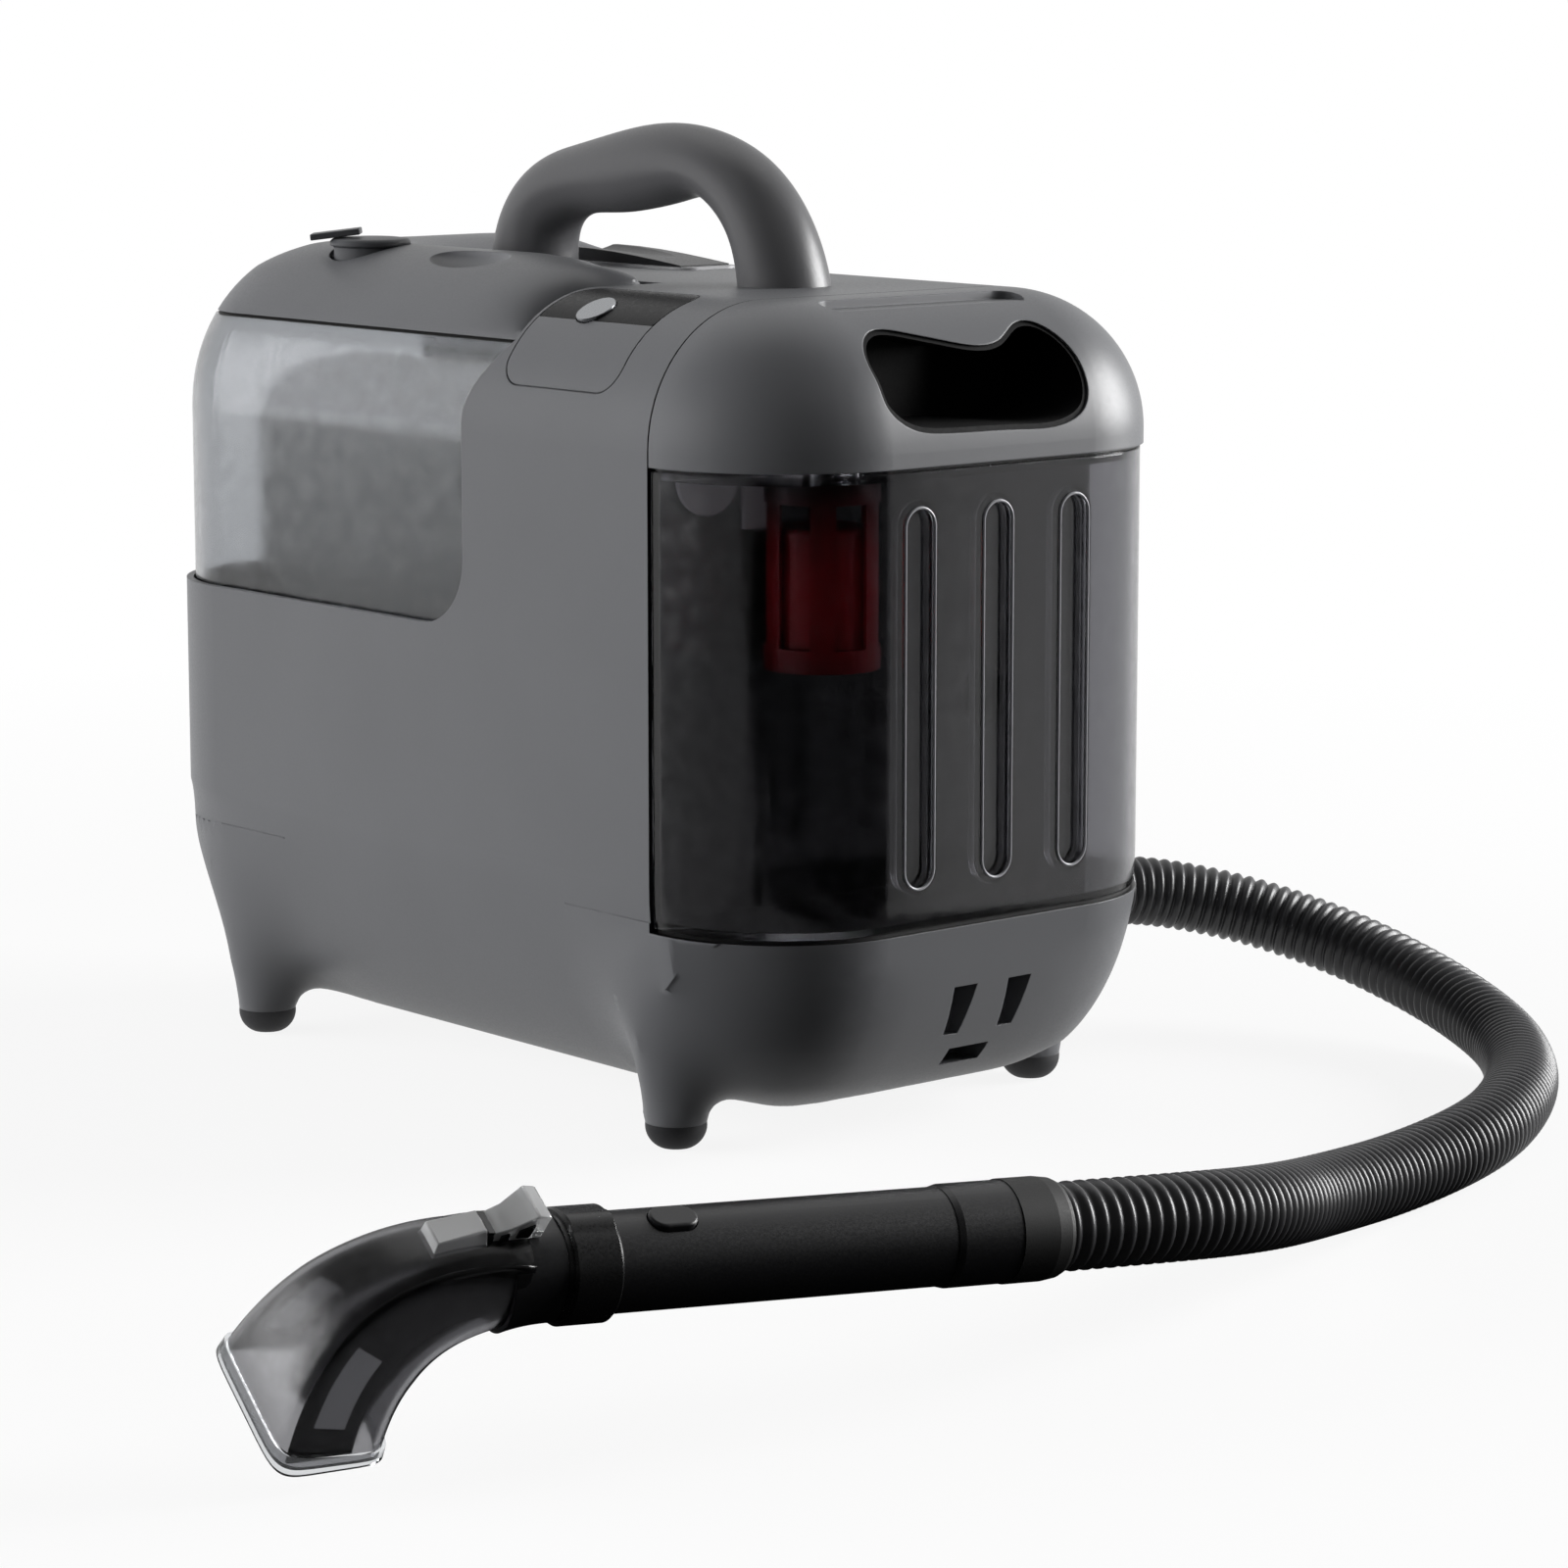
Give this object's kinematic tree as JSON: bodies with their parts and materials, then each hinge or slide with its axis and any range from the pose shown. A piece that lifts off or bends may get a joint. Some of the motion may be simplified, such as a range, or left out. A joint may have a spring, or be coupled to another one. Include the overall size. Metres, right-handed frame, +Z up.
{
  "type": "spot extractor",
  "caption": "Portable spot extractor with lift-off clean tank, pull-out recovery tank, carry handle and ribbed suction hose ending in a hand wand.",
  "frame": {"origin": "on the floor, midway between the four feet, under the middle of the body", "axes": "+Z up, -Y towards the recovery tank at the front, +X towards the side where the hose leaves"},
  "size_m": [0.6713, 0.6255, 0.3548],
  "materials": {
    "body_grey": "fine grain, matte",
    "black_plastic": "satin",
    "gloss_black": "gloss",
    "soft_black": "matte rubber",
    "hose_black": "satin, ribbed",
    "light_grey": "matte",
    "tank_clear": "clear smoked",
    "cap_smoke": "smoked gloss",
    "tank_dark": "dark smoked",
    "nozzle_clear": "clear",
    "float_red": "satin, deep red",
    "button_silver": "silver paint",
    "inner_grey": "matte",
    "tube_clear": "soft clear tube",
    "steel": "bright",
    "board_green": "matte"
  },
  "bodies": {
    "machine": {"main_housing": "body_grey", "base_plate": "black_plastic", "foot_pads": "soft_black", "base_screws": "steel", "carry_handle": "black_plastic", "control_panel": "black_plastic", "control_strip": "gloss_black", "power_switch": "inner_grey", "button_spring": "steel", "wand_cradle": "black_plastic", "cradle_pad": "light_grey", "hose_port": "black_plastic", "exhaust_grille": "black_plastic", "exhaust_duct": "inner_grey", "motor_mount": "soft_black", "suction_motor": "steel", "fan_housing": "inner_grey", "vacuum_duct": "inner_grey", "inlet_duct": "inner_grey", "duct_seals": "soft_black", "pump": "inner_grey", "pump_mount": "inner_grey", "supply_tube": "tube_clear", "delivery_tube": "tube_clear", "valve_seat": "soft_black", "circuit_board": "board_green", "board_posts": "black_plastic", "power_inlet": "black_plastic", "hose": "hose_black", "port_cuff": "soft_black", "hose_cuff": "soft_black"},
    "clean_tank_unit": {"clean_tank": "tank_clear", "clean_tank_cap": "cap_smoke", "cap_gasket": "soft_black", "filler_neck": "cap_smoke", "valve_body": "inner_grey", "valve_spring": "steel"},
    "filler_flap": {"filler_plug": "cap_smoke"},
    "tank_valve": {"valve_poppet": "inner_grey"},
    "recovery_tank_unit": {"dirty_tank": "tank_dark", "tank_gasket": "soft_black"},
    "recovery_lid": {"dirty_tank_lid": "body_grey", "grip_liner": "black_plastic", "lid_plate": "tank_dark", "baffle_tabs": "light_grey", "float_cage": "float_red"},
    "float_unit": {"shutoff_float": "float_red"},
    "button": {"power_button": "button_silver"},
    "fan_rotor": {"impeller": "inner_grey", "motor_shaft": "steel"},
    "wand": {"wand_sleeve": "black_plastic", "wand_tube": "black_plastic", "trigger_spring": "steel"},
    "trigger": {"spray_trigger": "black_plastic"},
    "collar": {"nozzle_collar": "black_plastic"},
    "nozzle": {"nozzle_neck": "black_plastic", "suction_duct": "black_plastic", "nozzle_cover": "nozzle_clear", "spray_tip": "nozzle_clear"}
  },
  "joints": [
    {"name": "clean_tank_lift", "type": "slide", "parent": "machine", "child": "clean_tank_unit", "axis": [0, 0, 1], "range_m": [0, 0.16]},
    {"name": "filler_flap_swing", "type": "hinge", "parent": "clean_tank_unit", "child": "filler_flap", "pos_m": [-0.053, 0.081, 0.3076], "axis": [1, 0, 0], "range_deg": [0, 110]},
    {"name": "tank_valve_travel", "type": "slide", "parent": "clean_tank_unit", "child": "tank_valve", "axis": [0, 0, 1], "range_m": [0, 0.003], "stiffness_N_per_m": 400, "springref_m": -0.003, "deforming": ["valve_spring"]},
    {"name": "recovery_tank_pull", "type": "slide", "parent": "machine", "child": "recovery_tank_unit", "axis": [0, -1, 0], "range_m": [0, 0.15]},
    {"name": "recovery_lid_lift", "type": "slide", "parent": "recovery_tank_unit", "child": "recovery_lid", "axis": [0, 0, 1], "range_m": [0, 0.1]},
    {"name": "float_rise", "type": "slide", "parent": "recovery_lid", "child": "float_unit", "axis": [0, 0, 1], "range_m": [0, 0.01]},
    {"name": "power_button_press", "type": "slide", "parent": "machine", "child": "button", "axis": [0.47, 0, -0.8827], "range_m": [0, 0.001], "stiffness_N_per_m": 1200, "springref_m": -0.001, "deforming": ["button_spring"]},
    {"name": "fan_spin", "type": "hinge", "parent": "machine", "child": "fan_rotor", "pos_m": [0.034, 0.025, 0.118], "axis": [0, 0, 1], "continuous": true},
    {"name": "wand_swivel", "type": "hinge", "parent": "machine", "child": "wand", "pos_m": [-0.19759, -0.41334, 0.04503], "axis": [-0.9774, 0.2035, 0.0571], "range_deg": [-90, 90]},
    {"name": "trigger_press", "type": "slide", "parent": "wand", "child": "trigger", "axis": [0.0427, 0.4548, -0.8896], "range_m": [0, 0.0016], "stiffness_N_per_m": 800, "springref_m": -0.001, "deforming": ["trigger_spring"]},
    {"name": "collar_turn", "type": "hinge", "parent": "wand", "child": "collar", "pos_m": [-0.33443, -0.38485, 0.05303], "axis": [-0.9774, 0.2035, 0.0571], "range_deg": [0, 30]},
    {"name": "nozzle_pull", "type": "slide", "parent": "wand", "child": "nozzle", "axis": [-0.9774, 0.2035, 0.0571], "range_m": [0, 0.04]}
  ]
}
